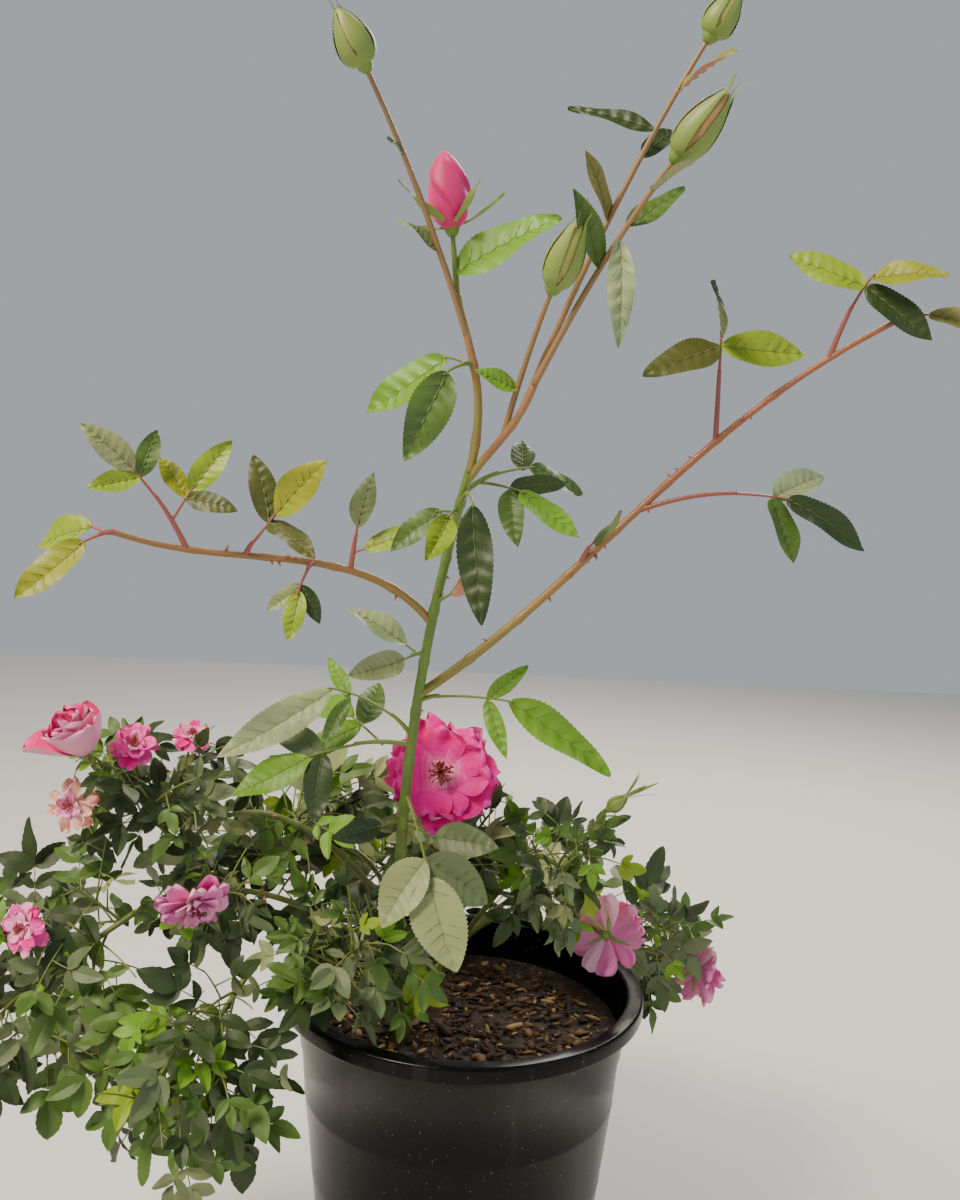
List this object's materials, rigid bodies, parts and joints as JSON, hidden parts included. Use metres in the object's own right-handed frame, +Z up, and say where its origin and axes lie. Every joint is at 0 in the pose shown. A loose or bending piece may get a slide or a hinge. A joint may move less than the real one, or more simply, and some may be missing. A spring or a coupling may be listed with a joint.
{
  "type": "potted rose bush",
  "caption": "Rose bush with tall leaning canes, pink blooms, green buds and a low leafy skirt, in a round black nursery pot with a turned-over lip.",
  "frame": {"origin": "middle of the pot's flat underside", "axes": "+Z up, -Y toward the side the tall canes lean to, +X to the right seen from that side"},
  "size_m": [0.6766, 0.5856, 0.9104],
  "materials": {
    "pot_plastic": "satin",
    "potting_mix": "matte",
    "old_wood": "matte",
    "cane_bark": "satin",
    "bud_top_green": "satin",
    "young_leaf": "satin",
    "low_leaf": "matte"
  },
  "bodies": {
    "root": {"pot": "pot_plastic", "soil": "potting_mix", "crown_stem": "old_wood", "big_bloom_cane": "cane_bark", "left_arching_cane": "cane_bark", "low_back_cane": "cane_bark", "low_back_left_cane": "cane_bark", "low_back_right_cane": "cane_bark", "low_front_cane": "cane_bark", "low_left_back_cane": "cane_bark", "low_left_bloom_cane": "cane_bark", "low_left_front_cane": "cane_bark", "low_left_outer_cane": "cane_bark", "low_right_cane": "cane_bark", "main_cane": "cane_bark", "right_arching_cane": "cane_bark", "right_hip_cane": "cane_bark", "top_left_cane": "cane_bark", "top_right_cane": "cane_bark", "left_green_bud_top": "bud_top_green", "pink_bud_top": "bud_top_green", "right_high_bud_top": "bud_top_green", "right_low_bud_top": "bud_top_green", "right_middle_bud_top": "bud_top_green", "fork_leaves": "young_leaf", "fork_right_leaves": "young_leaf", "front_left_spray": "young_leaf", "front_right_spray": "young_leaf", "front_spray": "young_leaf", "hanging_leaf": "young_leaf", "left_cane_inner_leaves": "young_leaf", "left_cane_low_leaves": "young_leaf", "left_cane_shoot": "young_leaf", "left_cane_tip_leaves": "young_leaf", "left_cane_up_leaves": "young_leaf", "left_cluster_high": "young_leaf", "left_cluster_low": "young_leaf", "node_left_leaves": "young_leaf", "node_right_leaves": "young_leaf", "right_cane_inner_leaves": "young_leaf", "right_cane_low_shoot": "young_leaf", "right_cane_middle_shoot": "young_leaf", "right_cane_tip_leaves": "young_leaf", "right_cane_top_shoot": "young_leaf", "right_compound_leaf": "young_leaf", "top_left_leaves": "young_leaf", "big_bloom_mass": "low_leaf", "low_back_left_mass": "low_leaf", "low_back_mass": "low_leaf", "low_back_right_mass": "low_leaf", "low_centre_left_mass": "low_leaf", "low_front_mass": "low_leaf", "low_left_back_mass": "low_leaf", "low_left_bloom_mass": "low_leaf", "low_left_front_mass": "low_leaf", "low_left_middle_mass": "low_leaf", "low_left_outer_mass": "low_leaf", "low_right_mass": "low_leaf", "right_hip_mass": "low_leaf"}
  },
  "joints": []
}
